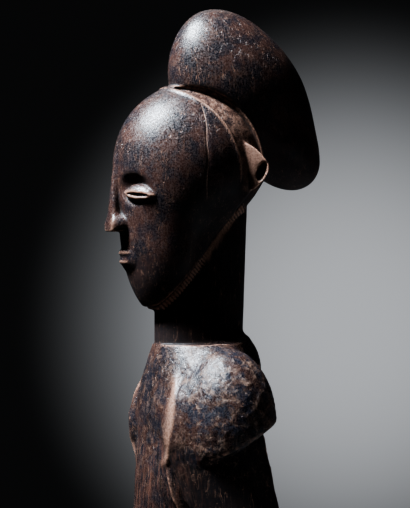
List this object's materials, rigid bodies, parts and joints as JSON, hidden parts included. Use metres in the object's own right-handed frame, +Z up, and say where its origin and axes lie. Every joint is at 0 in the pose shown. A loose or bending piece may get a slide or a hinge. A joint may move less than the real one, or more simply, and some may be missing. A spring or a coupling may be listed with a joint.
{
  "type": "carved wooden ancestor figure",
  "caption": "Standing male ancestor figure carved in dark wood, with a swept-up chignon, diadem, calm bearded face, long neck, hands on the belly and a round base.",
  "frame": {"origin": "centre of the round base's flat underside", "axes": "+Z up from the base to the crown, -Y the way the figure faces, +X the figure's left side; the underside of the base is the XY plane"},
  "size_m": [0.179, 0.1957, 0.7507],
  "materials": {
    "carved_wood": "dark brown, nearly black worn patina with a soft gloss, tan on worn edges"
  },
  "bodies": {
    "root": {"ancestor_figure": "carved_wood"}
  },
  "joints": []
}
